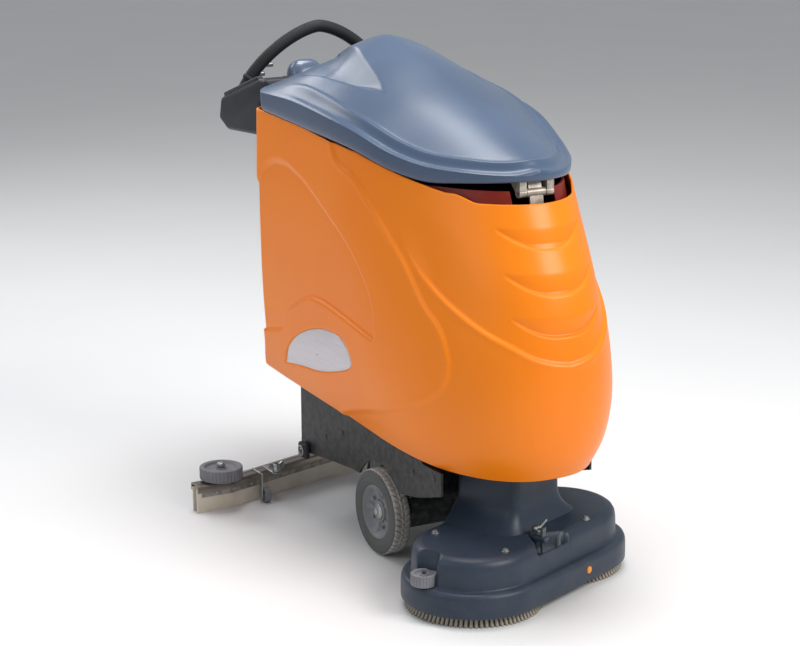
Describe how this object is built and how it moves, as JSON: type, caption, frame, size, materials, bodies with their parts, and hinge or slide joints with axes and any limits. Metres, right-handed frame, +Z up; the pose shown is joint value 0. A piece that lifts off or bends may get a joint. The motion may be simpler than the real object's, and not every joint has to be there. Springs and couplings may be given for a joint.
{
  "type": "walk-behind floor scrubber dryer",
  "caption": "Walk-behind wet and dry floor scrubber: tank shell on a wheeled chassis, domed lid, hoop handle, turned two-brush deck in front and a V squeegee behind.",
  "frame": {"origin": "on the floor, at the middle of the overall length and width", "axes": "+Z up, the machine drives towards -Y, its right-hand side is -X"},
  "size_m": [0.95, 1.3799, 1.203],
  "materials": {
    "chassis_steel": "dark grey powder coat",
    "battery_case": "moulded",
    "drive_casting": "satin",
    "zinc": "bright zinc",
    "tyre_rubber": "grey non-marking",
    "hub_grey": "moulded",
    "caster_rubber": "solid",
    "deck_plastic": "dark blue-grey, fine grain",
    "bristle": "nylon bristle",
    "disc_plastic": "moulded",
    "squeegee_rubber": "tan gum",
    "stainless": "brushed",
    "roller_rubber": "ribbed",
    "orange_plastic": "rotomoulded, light grain",
    "recovery_plastic": "dark red-orange",
    "lid_plastic": "blue-grey satin",
    "handle_grip": "textured grip",
    "badge_silver": "satin",
    "display_cover": "clear bump over a display",
    "control_black": "moulded",
    "control_orange": "moulded",
    "control_green": "moulded"
  },
  "bodies": {
    "chassis": {"chassis_frame": "chassis_steel", "battery_pack": "battery_case", "traction_drive": "drive_casting", "caster_plate": "chassis_steel", "chassis_screws": "zinc", "guide_rods": "zinc", "lift_actuator": "drive_casting", "squeegee_bracket": "chassis_steel"},
    "latch_right": {"latch_right": "control_black"},
    "latch_left": {"latch_left": "control_black"},
    "wheel_right": {"tyre_right": "tyre_rubber", "hub_right": "hub_grey", "wheel_cap_right": "zinc"},
    "wheel_left": {"tyre_left": "tyre_rubber", "hub_left": "hub_grey", "wheel_cap_left": "zinc"},
    "caster_fork": {"caster_fork": "zinc"},
    "caster_wheel": {"caster_wheel": "caster_rubber"},
    "deck": {"deck_cover": "deck_plastic", "deck_column": "deck_plastic", "lift_rod": "zinc", "deck_bolts": "zinc", "edge_marker": "control_orange", "lever_mount": "chassis_steel", "brush_motors": "drive_casting"},
    "bumper_roller": {"bumper_roller": "roller_rubber"},
    "release_lever": {"release_lever": "zinc"},
    "brush_right": {"brush_disc_right": "disc_plastic", "bristles_right": "bristle"},
    "brush_left": {"brush_disc_left": "disc_plastic", "bristles_left": "bristle"},
    "squeegee_arm": {"squeegee_arm": "chassis_steel"},
    "squeegee": {"squeegee_channel": "stainless", "front_blade": "squeegee_rubber", "rear_blade": "squeegee_rubber", "blade_clamps": "stainless", "suction_spigot": "control_black", "squeegee_fittings": "zinc"},
    "end_roller_right": {"end_roller_right": "roller_rubber"},
    "end_roller_left": {"end_roller_left": "roller_rubber"},
    "support_wheel_right": {"support_wheel_right": "caster_rubber"},
    "support_wheel_left": {"support_wheel_left": "caster_rubber"},
    "wing_knob_right": {"wing_knob_right": "control_black"},
    "wing_knob_left": {"wing_knob_left": "control_black"},
    "tank": {"tank_shell": "orange_plastic", "recovery_tank": "recovery_plastic", "console_housing": "lid_plastic", "handle_hoop": "handle_grip", "display_cover": "display_cover", "badge_plates": "badge_silver", "suction_motor": "drive_casting", "lid_hinge_base": "hub_grey"},
    "speed_knob": {"speed_knob": "control_black"},
    "key_switch": {"key_switch": "zinc"},
    "button_start": {"button_start": "control_green"},
    "button_water": {"button_water": "control_orange"},
    "squeegee_lever": {"squeegee_lever": "control_black"},
    "lid": {"lid_shell": "lid_plastic", "lid_hinge_leaf": "hub_grey"}
  },
  "joints": [
    {"name": "wheel_right_spin", "type": "hinge", "parent": "chassis", "child": "wheel_right", "pos_m": [-0.196, -0.135, 0.105], "axis": [1, 0, 0], "continuous": true},
    {"name": "wheel_left_spin", "type": "hinge", "parent": "chassis", "child": "wheel_left", "pos_m": [0.196, -0.135, 0.105], "axis": [1, 0, 0], "continuous": true},
    {"name": "caster_swivel", "type": "hinge", "parent": "chassis", "child": "caster_fork", "pos_m": [0, 0.205, 0.14], "axis": [0, 0, 1], "continuous": true},
    {"name": "caster_spin", "type": "hinge", "parent": "caster_fork", "child": "caster_wheel", "pos_m": [0, 0.243, 0.05], "axis": [1, 0, 0], "continuous": true},
    {"name": "latch_right_turn", "type": "hinge", "parent": "chassis", "child": "latch_right", "pos_m": [-0.215, 0.252, 0.153], "axis": [1, 0, 0], "range_deg": [0, 90]},
    {"name": "latch_left_turn", "type": "hinge", "parent": "chassis", "child": "latch_left", "pos_m": [0.215, 0.252, 0.153], "axis": [1, 0, 0], "range_deg": [0, 90]},
    {"name": "deck_lift", "type": "slide", "parent": "chassis", "child": "deck", "axis": [0, 0, 1], "range_m": [0, 0.03]},
    {"name": "bumper_spin", "type": "hinge", "parent": "deck", "child": "bumper_roller", "pos_m": [-0.31528, -0.54996, 0.093], "axis": [0, 0, 1], "continuous": true},
    {"name": "release_lever_pull", "type": "hinge", "parent": "deck", "child": "release_lever", "pos_m": [-0.03147, -0.56894, 0.166], "axis": [0.3859, -0.9225, 0], "range_deg": [0, 45]},
    {"name": "brush_right_spin", "type": "hinge", "parent": "deck", "child": "brush_right", "pos_m": [-0.17283, -0.5251, 0.04], "axis": [0, 0, 1], "continuous": true},
    {"name": "brush_left_spin", "type": "hinge", "parent": "deck", "child": "brush_left", "pos_m": [0.12884, -0.3989, 0.04], "axis": [0, 0, 1], "continuous": true},
    {"name": "squeegee_lift", "type": "hinge", "parent": "chassis", "child": "squeegee_arm", "pos_m": [0, 0.304, 0.19], "axis": [1, 0, 0], "range_deg": [0, 12]},
    {"name": "squeegee_swing", "type": "hinge", "parent": "squeegee_arm", "child": "squeegee", "pos_m": [0, 0.392, 0.1], "axis": [0, 0, 1], "range_deg": [-15, 15]},
    {"name": "end_roller_right_spin", "type": "hinge", "parent": "squeegee", "child": "end_roller_right", "pos_m": [-0.401, 0.354, 0.096], "axis": [0, 0, 1], "continuous": true},
    {"name": "support_wheel_right_spin", "type": "hinge", "parent": "squeegee", "child": "support_wheel_right", "pos_m": [-0.285, 0.336, 0.02], "axis": [1, 0, 0], "continuous": true},
    {"name": "wing_knob_right_turn", "type": "hinge", "parent": "squeegee", "child": "wing_knob_right", "pos_m": [-0.255, 0.335, 0.09], "axis": [0, 0, 1], "range_deg": [0, 360]},
    {"name": "end_roller_left_spin", "type": "hinge", "parent": "squeegee", "child": "end_roller_left", "pos_m": [0.401, 0.354, 0.096], "axis": [0, 0, 1], "continuous": true},
    {"name": "support_wheel_left_spin", "type": "hinge", "parent": "squeegee", "child": "support_wheel_left", "pos_m": [0.285, 0.336, 0.02], "axis": [1, 0, 0], "continuous": true},
    {"name": "wing_knob_left_turn", "type": "hinge", "parent": "squeegee", "child": "wing_knob_left", "pos_m": [0.255, 0.335, 0.09], "axis": [0, 0, 1], "range_deg": [0, 360]},
    {"name": "tank_tilt", "type": "hinge", "parent": "chassis", "child": "tank", "pos_m": [0, 0.33, 0.335], "axis": [-1, 0, 0], "range_deg": [0, 50]},
    {"name": "lid_open", "type": "hinge", "parent": "tank", "child": "lid", "pos_m": [0, -0.492, 0.926], "axis": [1, 0, 0], "range_deg": [0, 80]},
    {"name": "speed_knob_turn", "type": "hinge", "parent": "tank", "child": "speed_knob", "pos_m": [0.04, 0.53546, 1.05072], "axis": [0, 0.3114, 0.9503], "range_deg": [-135, 135]},
    {"name": "key_turn", "type": "hinge", "parent": "tank", "child": "key_switch", "pos_m": [0.12, 0.53546, 1.05072], "axis": [0, 0.3114, 0.9503], "range_deg": [0, 90]},
    {"name": "button_start_press", "type": "slide", "parent": "tank", "child": "button_start", "axis": [0, -0.3114, -0.9503], "range_m": [0, 0.003], "stiffness_N_per_m": 600},
    {"name": "button_water_press", "type": "slide", "parent": "tank", "child": "button_water", "axis": [0, -0.3114, -0.9503], "range_m": [0, 0.003], "stiffness_N_per_m": 600},
    {"name": "squeegee_lever_pull", "type": "hinge", "parent": "tank", "child": "squeegee_lever", "pos_m": [0.15, 0.555, 0.905], "axis": [-1, 0, 0], "range_deg": [0, 30]}
  ],
  "couplings": [
    {"joint": "squeegee_lever_pull", "follows": "squeegee_lift", "ratio": 2.5}
  ]
}
